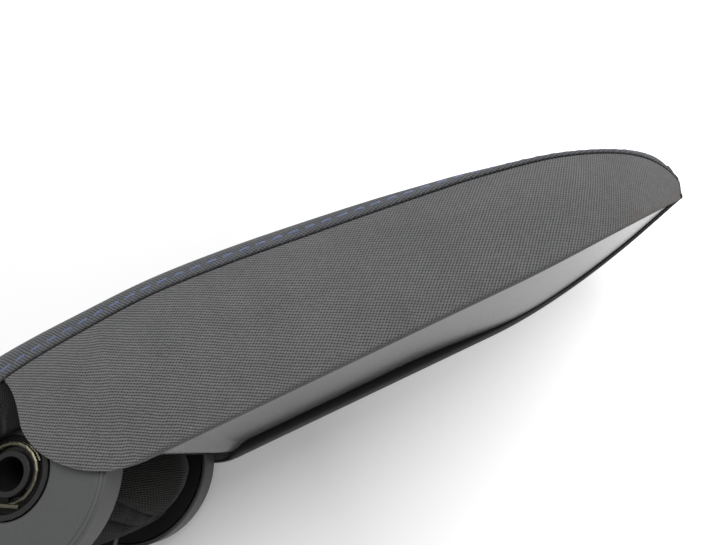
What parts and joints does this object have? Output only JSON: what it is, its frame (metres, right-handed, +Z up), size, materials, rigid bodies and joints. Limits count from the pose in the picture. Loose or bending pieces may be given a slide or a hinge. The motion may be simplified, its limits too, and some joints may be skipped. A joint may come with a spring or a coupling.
{
  "type": "center console armrest",
  "caption": "Padded centre console armrest with woven covers and a smooth underside, on round hinge ears that swing about a tube in a steel bracket.",
  "frame": {"origin": "middle of the bracket's foot, on the face that sits on the console", "axes": "+X towards the nose, +Z up, away from the console, +Y to the left side"},
  "size_m": [0.437, 0.1256, 0.1436],
  "materials": {
    "grey_weave": "flat woven cloth",
    "dark_cloth": "ribbed knitted cloth",
    "grey_plastic": "fine moulded grain",
    "silver_plastic": "satin painted",
    "black_plastic": "moulded",
    "bush_plastic": "natural",
    "foam": "moulded soft foam",
    "bracket_steel": "black dip coat",
    "zinc_wire": "yellow zinc plated"
  },
  "bodies": {
    "bracket": {"hinge_bracket": "bracket_steel", "pivot_tube": "bracket_steel", "retaining_clip_right": "zinc_wire", "retaining_clip_left": "zinc_wire"},
    "armrest": {"arm_screw_left_1": "zinc_wire", "arm_screw_left_2": "zinc_wire", "arm_screw_left_3": "zinc_wire", "arm_screw_right_1": "zinc_wire", "arm_screw_right_2": "zinc_wire", "arm_screw_right_3": "zinc_wire", "bottom_cover": "silver_plastic", "carrier_tray": "black_plastic", "ear_cover_left": "grey_plastic", "ear_cover_right": "grey_plastic", "ear_liner_left": "black_plastic", "ear_liner_right": "black_plastic", "foam_core": "foam", "hinge_arm_left": "bracket_steel", "hinge_arm_right": "bracket_steel", "hinge_bush_left": "bush_plastic", "hinge_bush_right": "bush_plastic", "hinge_gaiter": "dark_cloth", "hinge_well": "black_plastic", "rear_cover": "dark_cloth", "side_cover_left": "grey_weave", "side_cover_right": "grey_weave", "spring_cup_left": "black_plastic", "spring_cup_right": "black_plastic", "stop_bar": "bracket_steel", "top_cover": "grey_weave", "torsion_spring_left": "zinc_wire", "torsion_spring_right": "zinc_wire"}
  },
  "joints": [
    {"name": "armrest_hinge", "type": "hinge", "parent": "bracket", "child": "armrest", "pos_m": [0.052, 0, 0.08], "axis": [0, -1, 0], "range_deg": [0, 80]}
  ]
}
